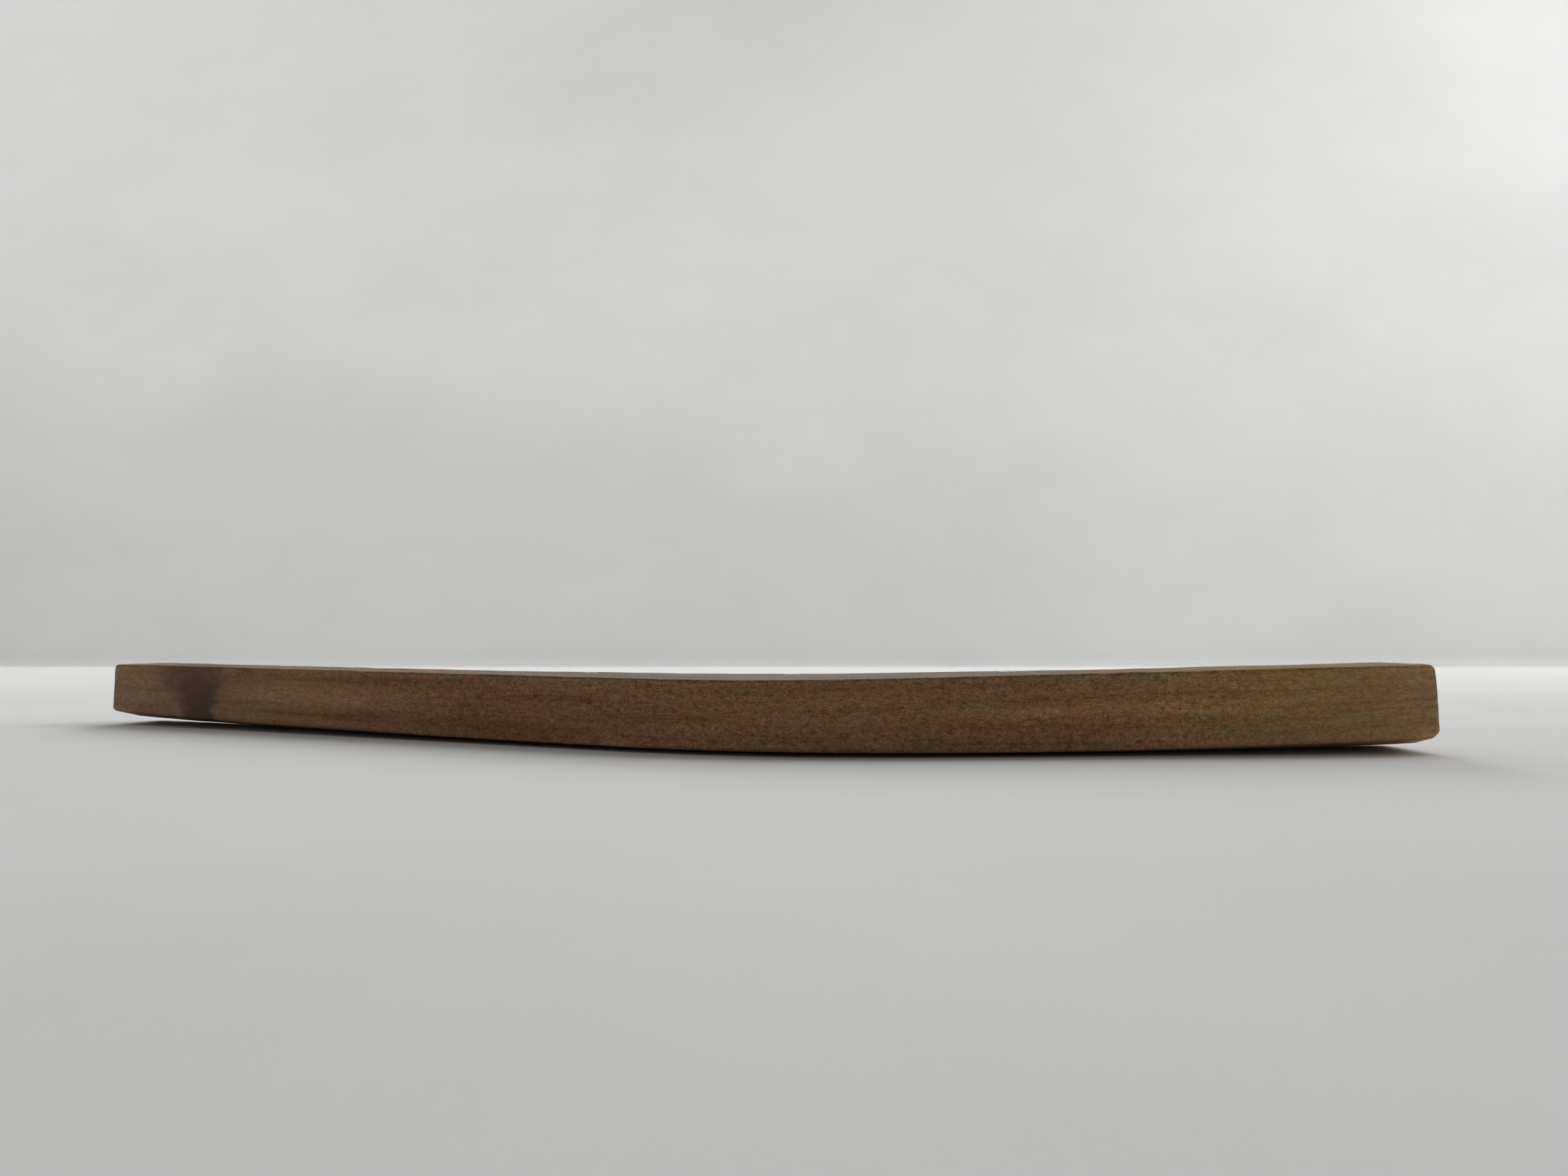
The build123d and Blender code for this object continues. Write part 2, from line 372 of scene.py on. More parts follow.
MEAN_HEIGHT = 19.0  # of the stock, in millimetres
ARRIS_REACH = 1.3 * MM
HOLLOW_REACH = 3.0 * MM


def store_grain(mesh):
    """Grain coordinates in millimetres, which follow the stock's bend, and how near the edges are."""
    points = coordinates(mesh)
    x, y, z = points.T
    back, hollow = back_at(x), hollow_at(x)
    low, high = belly_at(x, y), top_at(x)
    share = (z - low) / (high - low)
    grain = np.stack([x / MM, (y - back) / MM, (share - 0.5) * MEAN_HEIGHT], axis=1)
    store(mesh, "grain", grain)
    store(mesh, "share", share)
    from_side = np.minimum(np.abs(y - back), np.abs(hollow - y))
    from_level = np.minimum(np.abs(z - low), np.abs(high - z))
    store(mesh, "arris", np.exp(-((np.hypot(from_side, from_level) / ARRIS_REACH) ** 2)))
    store(mesh, "hollow", np.clip(1.3 - (hollow - y) / HOLLOW_REACH, 0, 1))
    lean = z * math.tan(END_LEAN)
    along = np.abs(x) + (y - back) * math.sin(ARM_ANGLE) * math.cos(ARM_ANGLE)
    to_end = (np.where(x < 0, REACH_LEFT, REACH_RIGHT) - along) / math.cos(ARM_ANGLE) - lean
    store(mesh, "from_end", to_end / MM)


# ---------------------------------------------------------------- materials
class Nodes:
    """A material's nodes. Each method adds one node and gives back its output."""

    def __init__(self, name):
        self.material = bpy.data.materials.new(name)
        self.material.use_nodes = True
        self.tree = self.material.node_tree
        self.tree.nodes.clear()
        self.shader = self.tree.nodes.new("ShaderNodeBsdfPrincipled")
        output = self.tree.nodes.new("ShaderNodeOutputMaterial")
        self.tree.links.new(self.shader.outputs["BSDF"], output.inputs["Surface"])

    def put(self, socket, value):
        """Links an output to a socket, or sets a plain value on it."""
        if isinstance(value, bpy.types.NodeSocket):
            self.tree.links.new(value, socket)
        else:
            socket.default_value = value

    def finish(self, **values):
        """Fills the shader's sockets, with spaces for underscores in their names."""
        for name, value in values.items():
            self.put(self.shader.inputs[name.replace("_", " ")], value)
        return self.material

    def place(self, per_metre):
        """The point's place on the object, in units of which this many make a metre."""
        node = self.tree.nodes.new("ShaderNodeTexCoord")
        return self.vector("MULTIPLY", node.outputs["Object"], per_metre)

    def stored(self, name, output="Fac"):
        node = self.tree.nodes.new("ShaderNodeAttribute")
        node.attribute_name = name
        return node.outputs[output]

    def vector(self, operation, a, b):
        node = self.tree.nodes.new("ShaderNodeVectorMath")
        node.operation = operation
        self.put(node.inputs[0], a)
        self.put(node.inputs[1], b)
        return node.outputs[0]

    def parts(self, vector):
        node = self.tree.nodes.new("ShaderNodeSeparateXYZ")
        self.put(node.inputs[0], vector)
        return node.outputs

    def join(self, x, y, z):
        node = self.tree.nodes.new("ShaderNodeCombineXYZ")
        for socket, value in zip(node.inputs, (x, y, z)):
            self.put(socket, value)
        return node.outputs[0]

    def stretched(self, vector, *wavelengths):
        return self.vector("MULTIPLY", vector, tuple(1 / w for w in wavelengths))

    def noise(self, vector, detail=2.0, roughness=0.5, distortion=0.0):
        node = self.tree.nodes.new("ShaderNodeTexNoise")
        self.put(node.inputs["Vector"], vector)
        node.inputs["Scale"].default_value = 1.0
        node.inputs["Detail"].default_value = detail
        node.inputs["Roughness"].default_value = roughness
        node.inputs["Distortion"].default_value = distortion
        return node.outputs["Fac"]

    def math(self, operation, a, b=0.0, clamp=False):
        node = self.tree.nodes.new("ShaderNodeMath")
        node.operation = operation
        node.use_clamp = clamp
        self.put(node.inputs[0], a)
        self.put(node.inputs[1], b)
        return node.outputs[0]

    def span(self, value, start, end, low=0.0, high=1.0, smooth=True):
        """Maps start..end to low..high, held at both ends."""
        node = self.tree.nodes.new("ShaderNodeMapRange")
        node.interpolation_type = "SMOOTHSTEP" if smooth else "LINEAR"
        self.put(node.inputs["Value"], value)
        self.put(node.inputs["From Min"], start)
        self.put(node.inputs["From Max"], end)
        node.inputs["To Min"].default_value = low
        node.inputs["To Max"].default_value = high
        return node.outputs["Result"]

    def hill(self, value, centre, width):
        """1 at the centre, falling smoothly to 0 at this distance from it."""
        away = self.math("ABSOLUTE", self.math("SUBTRACT", value, centre))
        return self.span(away, 0.0, width, 1.0, 0.0)

    def ramp(self, value, stops):
        node = self.tree.nodes.new("ShaderNodeValToRGB")
        self.put(node.inputs["Fac"], value)
        elements = node.color_ramp.elements
        while len(elements) < len(stops):
            elements.new(0.5)
        for element, (position, colour) in zip(elements, stops):
            element.position = position
            element.color = (*colour, 1.0)
        return node.outputs["Color"]

    def mix(self, factor, a, b, blend="MIX"):
        node = self.tree.nodes.new("ShaderNodeMix")
        node.data_type = "RGBA"
        node.blend_type = blend
        self.put(node.inputs["Factor"], factor)
        for socket, value in ((node.inputs[6], a), (node.inputs[7], b)):
            self.put(socket, value if isinstance(value, bpy.types.NodeSocket) else (*value, 1.0))
        return node.outputs[2]

    def shade(self, colour, amount):
        """Multiplies a colour by a number."""
        return self.mix(1.0, colour, self.grey(amount), "MULTIPLY")

    def grey(self, value):
        return self.join(value, value, value)

    def bump(self, height, distance):
        node = self.tree.nodes.new("ShaderNodeBump")
        node.inputs["Strength"].default_value = 1.0
        node.inputs["Distance"].default_value = distance
        self.put(node.inputs["Height"], height)
        return node.outputs["Normal"]

    def add(self, a, b):
        return self.math("ADD", a, b)

    def less(self, a, b):
        return self.math("SUBTRACT", a, b)

    def times(self, a, b):
        return self.math("MULTIPLY", a, b)

    def tint(self, colour, amount, by):
        """Multiplies a colour by another where the amount is 1."""
        return self.mix(amount, colour, self.mix(1.0, colour, by, "MULTIPLY"))


HEART_STOPS = (  # the bare wood's colour at places from the left end, 0, to the right end, 1
    (0.00, (0.38, 0.25, 0.14)),
    (0.09, (0.39, 0.25, 0.15)),
    (0.24, (0.35, 0.21, 0.11)),
    (0.36, (0.32, 0.17, 0.09)),
    (0.68, (0.32, 0.18, 0.09)),
    (0.80, (0.38, 0.21, 0.10)),
    (0.92, (0.43, 0.27, 0.12)),
    (1.00, (0.46, 0.28, 0.14)),
)
KNOT_COLOUR = (0.145, 0.087, 0.055)
KNOT_X = -191.5  # the knot's middle along the stock, in millimetres from the elbow
KNOT_HALF = 17.0  # half its length at the top
KNOT_FOOT = 8.5  # and at its foot
KNOT_DEPTH = 13.0
WOOD_RELIEF = 0.06 * MM

# What each kind of mark multiplies the wood's colour by
WARM = (1.04, 0.93, 0.86)
COOL = (0.97, 1.04, 1.02)
STREAK = (0.66, 0.52, 0.44)
PALE = (1.32, 1.30, 1.22)
PORE = (0.42, 0.36, 0.33)
# painted highlight: light specks that stand for glints of light on the fibres
PAINTED_GLINT = (1.65, 1.62, 1.50)
KNOT_HALO = (0.76, 0.58, 0.54)
KNOT_CAST = (0.66, 0.56, 0.60)
# worn arrises, and painted bounce light from the floor on the lower arris below the elbow
SCUFF_AND_BOUNCE_LIGHT = (1.36, 1.38, 1.42)
# painted shade: a dark line on the top that stands for the shadow where the top meets the front
PAINTED_SHADE_LINE = (0.34, 0.28, 0.25)
# painted shade on the top, and a greyer hollow side
TOP_SHADE_AND_GREY_HOLLOW = (0.60, 0.68, 0.70)
# painted shade along the ends, where the rounded end edges turn away from the light
PAINTED_END_SHADE = (0.44, 0.39, 0.36)

# Bands along the grain: how high up the stock, half their height, where they start and end along it,
# how far they fade there, and how strong they are
DARK_BANDS = (
    (0.66, 0.13, 72.0, 170.0, 25.0, 0.42),
    (0.33, 0.15, 48.0, 112.0, 30.0, 0.55),
    (0.88, 0.16, 18.0, 66.0, 15.0, 0.45),
    (0.84, 0.20, -176.0, -92.0, 20.0, 0.42),
    (0.20, 0.20, -150.0, -80.0, 30.0, 0.30),
)
PALE_BANDS = (
    (0.50, 0.22, -168.0, -118.0, 20.0, 1.0),
    (0.50, 0.16, 60.0, 120.0, 25.0, 0.8),
    (0.12, 0.14, -180.0, -120.0, 25.0, 0.4),
)


def make_bands(n, bands, along, level):
    """The summed strength of some bands at a point."""
    total = 0.0
    for at, width, start, end, fade, strength in bands:
        shape = n.times(n.span(along, start - fade, start), n.span(along, end, end + fade, 1.0, 0.0))
        total = n.add(total, n.times(n.times(n.hill(level, at, width), shape), strength))
    return total


def wood_material():
    """Raw hand-worked wood: tan ends and a redder heart, streaks, short pores and one dark knot."""
    n = Nodes("stock_wood")
    add, less, times, tint, span = n.add, n.less, n.times, n.tint, n.span
    grain = n.stored("grain", "Vector")
    share = n.stored("share")
    arris = n.stored("arris")
    from_end = n.stored("from_end")
    along, across, height = n.parts(grain)

    # The knot: a dark spike that narrows downwards, and the fibres that flow round it
    half = span(share, 0.05, 0.75, KNOT_FOOT, KNOT_HALF)
    middle = span(share, 0.0, 1.0, KNOT_X - 0.5, KNOT_X - 2.5, False)
    beside = n.math("DIVIDE", less(along, middle), half)
    inward = n.math("DIVIDE", across, KNOT_DEPTH)
    ragged = n.noise(n.stretched(grain, 6.0, 4.0, 5.0), 3.0, 0.55)
    from_knot = n.math("POWER", add(times(beside, beside), times(inward, inward)), 0.5)
    from_knot = add(from_knot, times(less(ragged, 0.5), 0.8))
    knot = span(from_knot, 0.30, span(beside, -0.8, 0.6, 1.25, 0.95), 1.0, 0.0)
    halo = span(from_knot, 0.7, 2.4, 1.0, 0.0)
    cast = times(n.hill(along, KNOT_X - 9.0, 20.0), span(share, 0.15, 0.8))
    swirl = n.noise(n.stretched(grain, 16.0, 8.0, 6.0), 1.0)
    lift = times(times(less(swirl, 0.5), halo), 7.0)
    waver = times(less(n.noise(n.stretched(grain, 38.0, 12.0, 12.0), 2.0), 0.5), 2.2)
    shift = add(lift, waver)
    flow = n.join(along, add(across, shift), add(height, shift))
    level = add(share, times(waver, 0.045))

    # Slow changes of tone and warmth, and growth streaks
    where = span(along, -REACH_LEFT / MM, REACH_RIGHT / MM, smooth=False)
    tone = n.noise(n.stretched(flow, 55.0, 9.0, 5.0), 3.0, 0.55)
    growth = n.noise(n.stretched(flow, 90.0, 4.0, 1.6), 3.0, 0.6, 0.3)
    warmth = n.noise(n.stretched(flow, 9.0, 3.5, 2.4), 3.0, 0.6, 0.4)
    colour = n.shade(n.ramp(where, HEART_STOPS), span(tone, 0.25, 0.75, 0.84, 1.16, False))
    colour = tint(colour, span(warmth, 0.42, 0.66), WARM)
    colour = tint(colour, span(warmth, 0.56, 0.32), COOL)
    colour = tint(colour, times(span(growth, 0.48, 0.70), 0.55), STREAK)

    # Bands along the arms
    blotchy = span(n.noise(n.stretched(flow, 14.0, 5.0, 2.0), 2.0, 0.6), 0.30, 0.62)
    dark = make_bands(n, DARK_BANDS, along, level)
    colour = tint(colour, times(dark, add(times(blotchy, 0.6), 0.4)), STREAK)
    colour = tint(colour, times(make_bands(n, PALE_BANDS, along, level), 0.55), PALE)

    # Fibres, flecks, pores and painted glints of light, fewest towards the ends
    fibre = n.noise(n.stretched(flow, 6.0, 0.34, 0.30), 2.0, 0.6)
    colour = n.shade(colour, span(fibre, 0.25, 0.75, 0.90, 1.10, False))
    busy = times(span(along, -160.0, -85.0, 0.60, 1.0), span(along, 90.0, 150.0, 1.0, 0.62))
    crossing = n.noise(n.stretched(flow, 0.62, 0.50, 0.55), 2.0, 0.65, 0.8)
    mottle = n.noise(n.stretched(flow, 1.9, 1.2, 1.1), 2.0, 0.6, 0.6)
    fleck = span(crossing, 0.28, 0.72, -0.46, 0.46, False)
    fleck = add(fleck, span(mottle, 0.28, 0.72, -0.30, 0.30, False))
    colour = n.shade(colour, add(times(fleck, busy), 1.0))
    pores = times(span(n.noise(n.stretched(flow, 1.9, 0.24, 0.22), 1.0), 0.58, 0.72), busy)
    colour = tint(colour, times(pores, 0.6), PORE)
    # painted highlight: glints of light put into the wood's colour
    painted_glint = span(n.noise(n.stretched(flow, 1.1, 0.30, 0.26), 1.0, 0.5, 0.5), 0.61, 0.74)
    colour = tint(colour, times(times(painted_glint, busy), 0.75), PAINTED_GLINT)

    # The knot's colour
    colour = tint(colour, times(halo, 0.25), KNOT_HALO)
    colour = tint(colour, times(cast, 0.55), KNOT_CAST)
    core = span(level, 0.10, 0.85, 0.80, 1.15)
    knot_colour = n.shade(n.shade(KNOT_COLOUR, span(ragged, 0.2, 0.8, 0.80, 1.25, False)), core)
    colour = n.mix(times(knot, 0.92), colour, knot_colour)

    # Worn arrises, lightened most along the lower arris below the elbow, where painted light stands for the
    # floor's bounce
    scuff = n.noise(n.stretched(grain, 5.0, 1.5, 1.5), 3.0, 0.6)
    worn = times(arris, span(scuff, 0.35, 0.65, 0.35, 1.0))
    # painted light: the floor's bounce on the lower arris below the elbow, on top of the wear
    painted_bounce_below_elbow = times(n.hill(along, 0.0, 110.0), span(share, 0.05, 0.20, 1.0, 0.0))
    worn = times(worn, add(times(painted_bounce_below_elbow, 0.9), 0.5))
    colour = tint(colour, worn, SCUFF_AND_BOUNCE_LIGHT)

    # A dark line of painted shade along the top, the top darkened with painted shade, the greyer hollow
    # side, and painted shade along the ends
    # painted shade: the dark line along the top
    painted_shade_line = times(n.hill(across, 12.0, 2.2), span(level, 0.93, 0.99))
    painted_shade_line = times(painted_shade_line, times(span(along, -70.0, -40.0), span(along, 78.0, 105.0, 1.0, 0.0)))
    colour = tint(colour, times(painted_shade_line, add(times(blotchy, 0.5), 0.4)), PAINTED_SHADE_LINE)
    # painted shade darkens the top; the hollow side is made greyer
    top_shade_and_grey_hollow = n.math("MAXIMUM", span(share, 0.955, 0.99), n.stored("hollow"))
    colour = tint(colour, top_shade_and_grey_hollow, TOP_SHADE_AND_GREY_HOLLOW)
    # painted shade along the ends
    colour = tint(colour, times(span(from_end, 0.3, 1.2, 1.0, 0.0), 0.85), PAINTED_END_SHADE)

    heights = less(add(times(fibre, 0.7), times(crossing, 0.6)), times(pores, 0.8))
    return n.finish(
        Base_Color=colour,
        Roughness=add(span(tone, 0.2, 0.8, 0.74, 0.86, False), times(worn, -0.12)),
        Specular_IOR_Level=0.12,
        Normal=n.bump(heights, WOOD_RELIEF),
    )


PER_METRE = (1 / MM,) * 3  # texture coordinates in millimetres
FORGED_STOPS = (
    (0.30, (0.20, 0.195, 0.19)),
    (0.55, (0.33, 0.325, 0.315)),
    (0.75, (0.42, 0.41, 0.39)),
)
PEENED_STOPS = (
    (0.30, (0.17, 0.16, 0.15)),
    (0.52, (0.36, 0.35, 0.335)),
    (0.75, (0.50, 0.49, 0.47)),
)
GROUND = (0.60, 0.595, 0.58)
HONED = (0.74, 0.74, 0.73)
RUST = (0.20, 0.09, 0.045)
HONED_BAND = 0.9  # the width of the bright line along the edge, in millimetres
RUST_BAND = 7.0  # the rust freckles thin out over this distance from the wood, in millimetres
BLADE_RELIEF = 0.012 * MM
PIN_RELIEF = 0.02 * MM


def blade_material():
    """Tool steel: a dark forged flat, a bevel ground square to the edge, and light rust freckles."""
    n = Nodes("blade_steel")
    add, less, times, span = n.add, n.less, n.times, n.span
    place = n.place(PER_METRE)
    across = n.parts(place)[1]
    edge = blade_high.y / MM
    wood = LEDGE_Y / MM
    on_bevel = n.stored("bevel")
    off_bevel = less(1.0, on_bevel)
    scratches = n.noise(n.stretched(place, 0.16, 9.0, 9.0), 3.0, 0.7)
    drawn = n.noise(n.stretched(place, 14.0, 0.30, 0.5), 3.0, 0.65)
    cloud = n.noise(n.stretched(place, 11.0, 7.0, 7.0), 4.0, 0.6, 0.4)
    freckle = n.noise(n.stretched(place, 0.9, 0.8, 0.9), 2.0, 0.6)
    rusty = times(span(freckle, 0.62, 0.72), span(cloud, 0.48, 0.66))
    rusty = times(rusty, span(across, wood, wood + RUST_BAND, 1.0, 0.25))
    honed = span(across, edge - HONED_BAND, edge - HONED_BAND + 0.2)

    flat = n.shade(n.ramp(cloud, FORGED_STOPS), span(drawn, 0.3, 0.7, 0.86, 1.12, False))
    ground = n.shade(GROUND, span(scratches, 0.3, 0.7, 0.82, 1.10, False))
    ground = n.mix(times(honed, 0.7), ground, HONED)
    colour = n.mix(times(rusty, 0.8), n.mix(on_bevel, flat, ground), RUST)
    rough_flat = span(cloud, 0.3, 0.7, 0.50, 0.36, False)
    rough_ground = add(span(scratches, 0.3, 0.7, 0.34, 0.24, False), times(honed, -0.1))
    rough = add(times(rough_flat, off_bevel), times(rough_ground, on_bevel))
    lines = add(times(scratches, on_bevel), times(drawn, off_bevel))
    return n.finish(
        Base_Color=colour,
        Metallic=less(1.0, times(rusty, 0.8)),
        Roughness=n.math("ADD", rough, times(rusty, 0.4), clamp=True),
        Normal=n.bump(lines, BLADE_RELIEF),
    )


def pin_material():
    """Mild steel, hammered over and dulled."""
    n = Nodes("pin_steel")
    place = n.place(PER_METRE)
    cloud = n.noise(n.stretched(place, 1.1, 1.1, 1.1), 3.0, 0.6)
    fine = n.noise(n.stretched(place, 0.22, 0.22, 0.22), 2.0, 0.6)
    return n.finish(
        Base_Color=n.ramp(cloud, PEENED_STOPS),
        Metallic=1.0,
        Roughness=n.span(cloud, 0.3, 0.7, 0.52, 0.32, False),
        Normal=n.bump(fine, PIN_RELIEF),
    )


# ---------------------------------------------------------------- blade and pins
BLADE_CORNER = 4.0 * MM
GRIND_ANGLE = math.radians(26.0)
EDGE_LAND = 0.15 * MM
BLADE_ROUND = 0.12 * MM
BLADE_RIM = 0.3 * MM
BLADE_RIM_CUTS = 3
BLADE_CUTS_ALONG = 150
BLADE_CUTS_ACROSS = 44
BLADE_LAYERS = 8
FIT = 0.10 * MM  # daylight between the blade and its mortise


def blade_points():
    """The blade: flat below, one bevel above, with rounded front corners and softened edges."""
    length = blade_high.x - blade_low.x
    thick = blade_high.z - blade_low.z
    a = stations(length, BLADE_RIM, BLADE_RIM_CUTS, BLADE_CUTS_ALONG)
    into_corner = np.maximum(BLADE_CORNER - np.minimum(a, length - a), 0)
    drop = BLADE_CORNER - np.sqrt(np.maximum(BLADE_CORNER**2 - into_corner**2, 0))
    depth = (blade_high.y - blade_low.y) - drop
    b = stations(depth, BLADE_RIM, BLADE_RIM_CUTS, BLADE_CUTS_ACROSS)
    triples, faces = slab_faces((len(a), b.shape[1], BLADE_LAYERS + 1))
    i, j, k = triples.T

    def thickness(y):
        return np.minimum(thick, EDGE_LAND + (blade_high.y - y) * math.tan(GRIND_ANGLE))

    a0, b0 = a[i], b[i, j]
    height = thickness(blade_low.y + b0)
    c0 = height * (k / BLADE_LAYERS)
    radius = np.minimum(BLADE_ROUND, 0.3 * height)
    a1, b1, c1 = rounded((a0, b0, c0), (np.full_like(a0, length), depth[i], height), radius)
    y = blade_low.y + b1
    z = blade_low.z + c1 / height * thickness(y)
    return np.stack([blade_low.x + a1, y, z], axis=1), faces


def store_bevel(mesh):
    """Marks the ground bevel, for the material to read."""
    _, y, z = coordinates(mesh).T
    run = (blade_high.z - blade_low.z - EDGE_LAND) / math.tan(GRIND_ANGLE)
    on_bevel = (y > blade_high.y - run) & (z > blade_low.z + 0.25 * EDGE_LAND)
    store(mesh, "bevel", on_bevel.astype(float))


HEAD_SPREAD = 0.22 * MM
FOOT_CHAMFER = 0.25 * MM
NECK = 0.3 * MM  # the shank swells to the head over this length
HAMMERED = 0.10 * MM  # how deep the hammer's marks on the head are
HAMMER_WAVE = 1.3 * MM
RINGS = 10
TURNS = 40


def make_pin(node, material):
    """A pin with a hammered head that has spread a little over its hole."""
    low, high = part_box(node)
    centre = (low + high) / 2
    radius = (high.x - low.x) / 2
    top = float(top_at(np.array(centre.x)))
    dome = high.z - top
    profile = [(radius - FOOT_CHAMFER, low.z), (radius, low.z + FOOT_CHAMFER), (radius, top - NECK)]
    spread = radius + HEAD_SPREAD
    for step in range(RINGS + 1):
        turn = math.pi / 2 * step / RINGS
        profile.append((spread * math.cos(turn), top + dome * math.sin(turn)))
    points = [(centre.x, centre.y, low.z)]
    for r, z in profile[:-1]:
        for t in range(TURNS):
            angle = 2 * math.pi * t / TURNS
            points.append((centre.x + r * math.cos(angle), centre.y + r * math.sin(angle), z))
    points.append((centre.x, centre.y, high.z))
    rows = len(profile) - 1
    ring = [[1 + row * TURNS + t for t in range(TURNS)] for row in range(rows)]
    faces = [(0, ring[0][(t + 1) % TURNS], ring[0][t]) for t in range(TURNS)]
    for lower, upper in zip(ring, ring[1:]):
        for t in range(TURNS):
            after = (t + 1) % TURNS
            faces.append((lower[t], lower[after], upper[after], upper[t]))
    last = len(points) - 1
    faces += [(ring[-1][t], ring[-1][(t + 1) % TURNS], last) for t in range(TURNS)]
    points = np.array(points)
    hammered = noise_at(points, (HAMMER_WAVE,) * 3, SEED + 3)
    on_head = points[:, 2] > top
    points[:, 2] += np.where(on_head, (hammered - 0.4) * HAMMERED, 0)
    return make_piece("pin_" + node.split("_")[-1], points, faces, material, [node], PIN_SHARP)


# ---------------------------------------------------------------- build the pieces
STOCK_SHARP = 40.0  # the angle, in degrees, above which an edge is shaded sharp
BLADE_SHARP = 18.0
PIN_SHARP = 35.0
HOLE_ROOM = 0.05 * MM
BEYOND = 5.0 * MM  # how far a cutter reaches past what it cuts

points, faces = stock_points()
wood = wood_material()
stock = make_piece("drawknife_stock", points, faces, wood, ["stock"], STOCK_SHARP)
work_surface(stock.data)
cut(stock, cutter(
    "mortise",
    (blade_low.x - FIT, blade_low.y - FIT, blade_low.z - FIT),
    (blade_high.x + FIT, blade_high.y + BEYOND, blade_high.z + FIT),
))
points, faces = blade_points()
steel = blade_material()
blade = make_piece("drawknife_blade", points, faces, steel, ["blade"], BLADE_SHARP)
for node in PIN_NODES:
    low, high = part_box(node)
    middle = (low + high) / 2
    hole = (high.x - low.x) / 2 + HOLE_ROOM
    for piece in (stock, blade):
        cut(piece, round_cutter("hole", middle, hole, -BEYOND, high.z + BEYOND))
stock.data.set_sharp_from_angle(angle=math.radians(STOCK_SHARP))
blade.data.set_sharp_from_angle(angle=math.radians(BLADE_SHARP))
store_grain(stock.data)
store_bevel(blade.data)
pin_steel = pin_material()
for node in PIN_NODES:
    make_pin(node, pin_steel)

# ---------------------------------------------------------------- camera
CAMERA_AT = Vector((64.4, -317.6, 31.9)) * MM
CAMERA_YAW = math.radians(11.39)  # turned to the left of +Y
CAMERA_PITCH = math.radians(1.83)  # tilted up
camera_data = bpy.data.cameras.new("camera")
camera_data.sensor_width = 36.0
camera_data.lens = 28.25
camera_data.clip_start = 10 * MM
camera = bpy.data.objects.new("camera", camera_data)
camera.location = CAMERA_AT
camera.rotation_euler = (math.pi / 2 + CAMERA_PITCH, 0, CAMERA_YAW)
bpy.context.scene.collection.objects.link(camera)
bpy.context.scene.camera = camera

# ---------------------------------------------------------------- pale sweep, lights and world
SWEEP_HALF = 4.0
SWEEP_FRONT = 4.0
SWEEP_BACK = 0.650
SWEEP_TOP = 2.5
SWEEP_ROUND = 0.012
SWEEP_CUTS = 8
FLOOR_WHITE = 0.79
# painted light: the backdrop is the same paper as the floor, made brighter to stand for more light on the
# wall
WALL_WHITE_PAINTED_LIGHT = 0.86
PAPER_RELIEF = 0.02 * MM
WORLD_GREY = 0.80
WORLD_GLOW = 0.19


def sweep_material(name, brightness):
    """Matt white paper with very faint blotches."""
    n = Nodes(name)
    blotch = n.noise(n.place((5.0, 5.0, 9.0)), 4.0, 0.6)
    fine = n.noise(n.place((700.0, 700.0, 700.0)), 2.0, 0.6)
    white = (brightness, brightness, brightness * 0.99)
    return n.finish(
        Base_Color=n.shade(white, n.span(blotch, 0.3, 0.7, 0.96, 1.03, False)),
        Roughness=n.span(fine, 0.3, 0.7, 0.85, 0.95, False),
        Specular_IOR_Level=0.2,
        Normal=n.bump(fine, PAPER_RELIEF),
    )


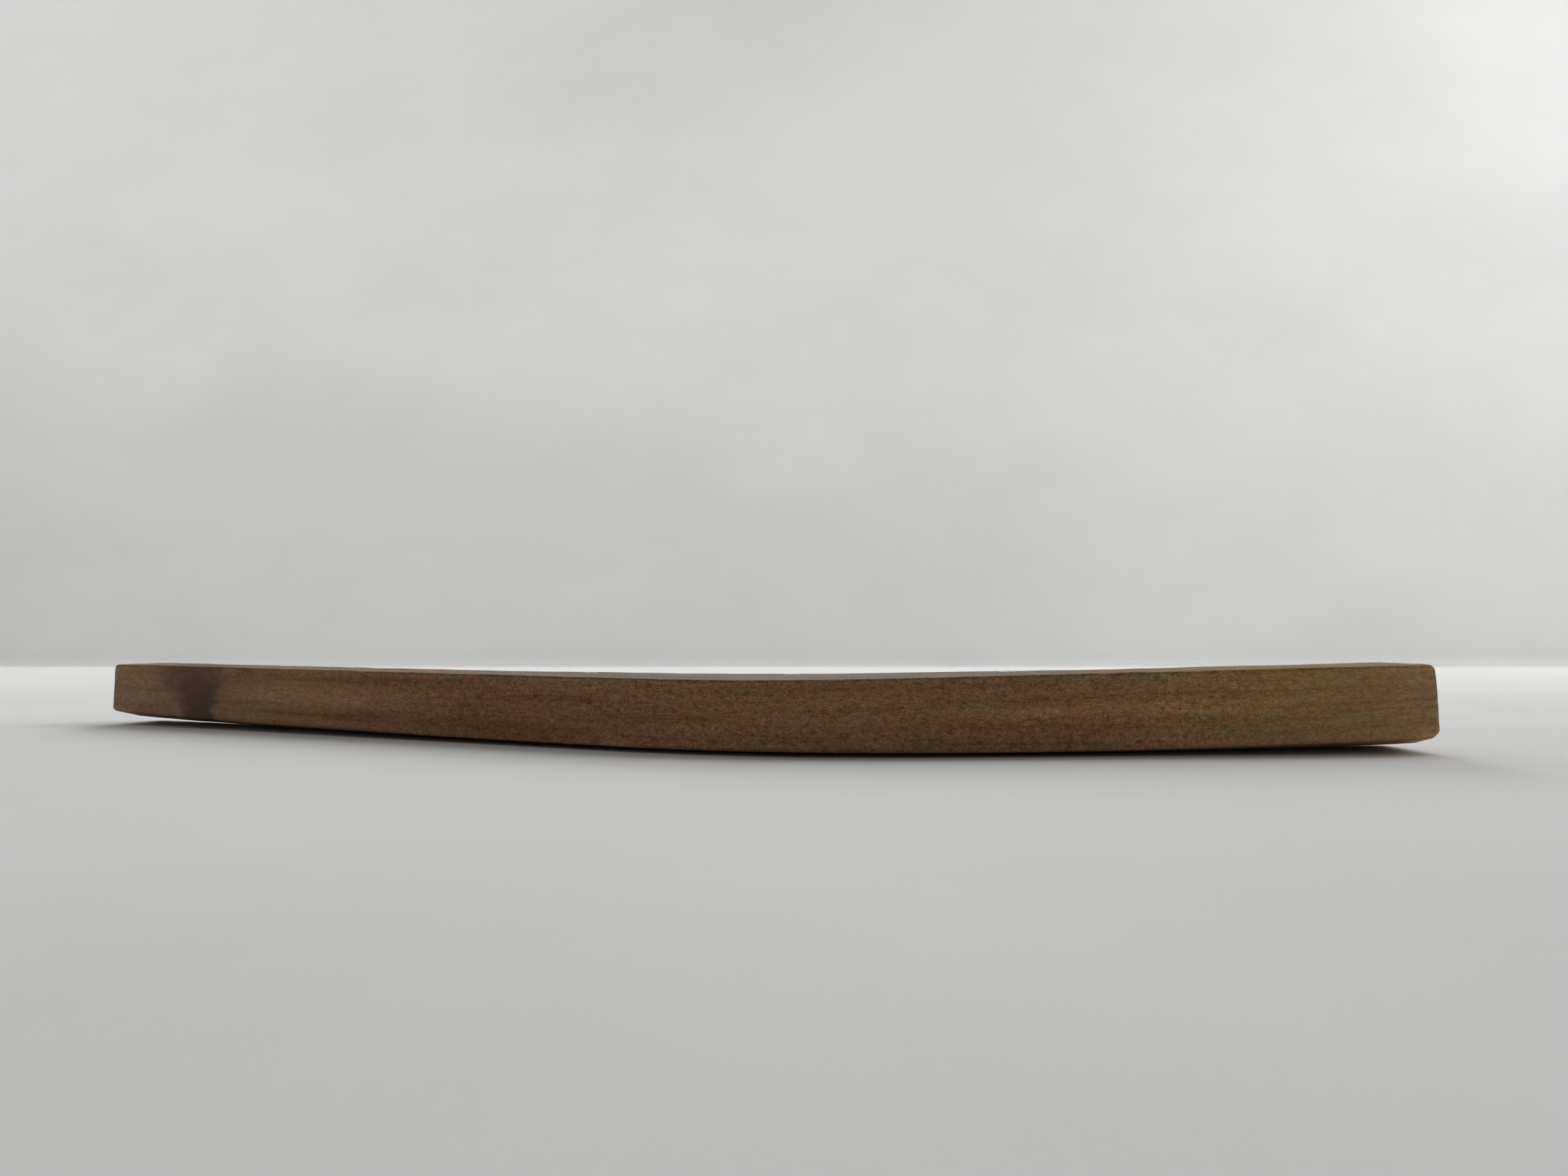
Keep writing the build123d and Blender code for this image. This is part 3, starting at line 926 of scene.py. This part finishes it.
def make_sweep():
    """A floor that turns up into a backdrop, square to the camera."""
    turns = [math.pi / 2 * t / SWEEP_CUTS for t in range(SWEEP_CUTS + 1)]
    profile = [(-SWEEP_FRONT, 0.0)]
    profile += [(SWEEP_BACK + SWEEP_ROUND * math.sin(t), SWEEP_ROUND * (1 - math.cos(t))) for t in turns]
    profile.append((SWEEP_BACK + SWEEP_ROUND, SWEEP_TOP))
    points = [(x, y, z) for x in (-SWEEP_HALF, SWEEP_HALF) for y, z in profile]
    count = len(profile)
    faces = [(s, count + s, count + s + 1, s + 1) for s in range(count - 1)]
    mesh = bpy.data.meshes.new("sweep")
    mesh.from_pydata(points, [], faces)
    mesh.shade_smooth()
    mesh.materials.append(sweep_material("sweep_floor", FLOOR_WHITE))
    mesh.materials.append(sweep_material("sweep_wall", WALL_WHITE_PAINTED_LIGHT))
    for number, face in enumerate(mesh.polygons):
        face.material_index = int(number > SWEEP_CUTS // 2)
    sweep = bpy.data.objects.new("sweep", mesh)
    sweep.rotation_euler.z = CAMERA_YAW
    sweep.visible_shadow = False  # the low lamps shine through the backdrop
    bpy.context.scene.collection.objects.link(sweep)
    sweep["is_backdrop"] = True


def add_lamp(name, lamp, at, aim):
    """Puts a lamp at a point and turns it to face another, both square to the sweep."""
    turn = Matrix.Rotation(CAMERA_YAW, 3, "Z")
    at, aim = turn @ Vector(at), turn @ Vector(aim)
    piece = bpy.data.objects.new(name, lamp)
    piece.location = at
    piece.rotation_euler = (aim - at).to_track_quat("-Z", "Y").to_euler()
    piece.visible_camera = False
    bpy.context.scene.collection.objects.link(piece)


def add_panel(name, at, aim, size, power, spread=180.0):
    """A soft rectangular lamp."""
    lamp = bpy.data.lights.new(name, "AREA")
    lamp.shape = "RECTANGLE"
    lamp.size, lamp.size_y = size
    lamp.spread = math.radians(spread)
    lamp.energy = power
    add_lamp(name, lamp, at, aim)


def add_sky_patch(name, azimuth, elevation, width, power):
    """A far, wide source. Azimuth 0 is behind the tool and 90 is to its right."""
    lamp = bpy.data.lights.new(name, "SUN")
    lamp.angle = math.radians(width)
    lamp.energy = power
    azimuth, elevation = math.radians(azimuth), math.radians(elevation)
    flat = math.cos(elevation)
    at = (math.sin(azimuth) * flat, math.cos(azimuth) * flat, math.sin(elevation))
    add_lamp(name, lamp, at, (0, 0, 0))


make_sweep()
# name, azimuth, elevation and width in degrees, power
add_sky_patch("low_behind", 0, 22, 28, 0.92)
add_sky_patch("low_left", -30, 17, 24, 0.28)
add_sky_patch("low_right", 70, 27, 34, 0.84)
add_sky_patch("high_right", 45, 55, 30, 0.44)
# name, place, aim, size, power, and the spread of its light in degrees
add_panel("wall_middle", (0.3, 0.35, 1.0), (0.3, 0.66, 0.75), (1.6, 0.2), 1.5)
add_panel("wall_left", (-0.8, 0.3, 0.9), (-0.6, 0.66, 0.50), (0.5, 0.2), 1.25)
add_panel("wall_right", (0.8, 0.3, 0.9), (0.6, 0.66, 0.50), (0.5, 0.2), 1.3)
add_panel("wall_fill", (0.2, -0.3, 0.55), (0.2, 0.66, 0.31), (2.2, 0.2), 1.0, 60)
add_panel("wall_glow", (0.9, -0.1, 0.8), (0.7, 0.66, 0.35), (0.6, 0.3), 0.20, 60)

world = bpy.data.worlds.new("world")
world.use_nodes = True
background = world.node_tree.nodes["Background"]
background.inputs["Color"].default_value = (WORLD_GREY, WORLD_GREY, WORLD_GREY, 1.0)
background.inputs["Strength"].default_value = WORLD_GLOW
bpy.context.scene.world = world
bpy.context.scene.view_settings.view_transform = "Standard"

low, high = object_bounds()
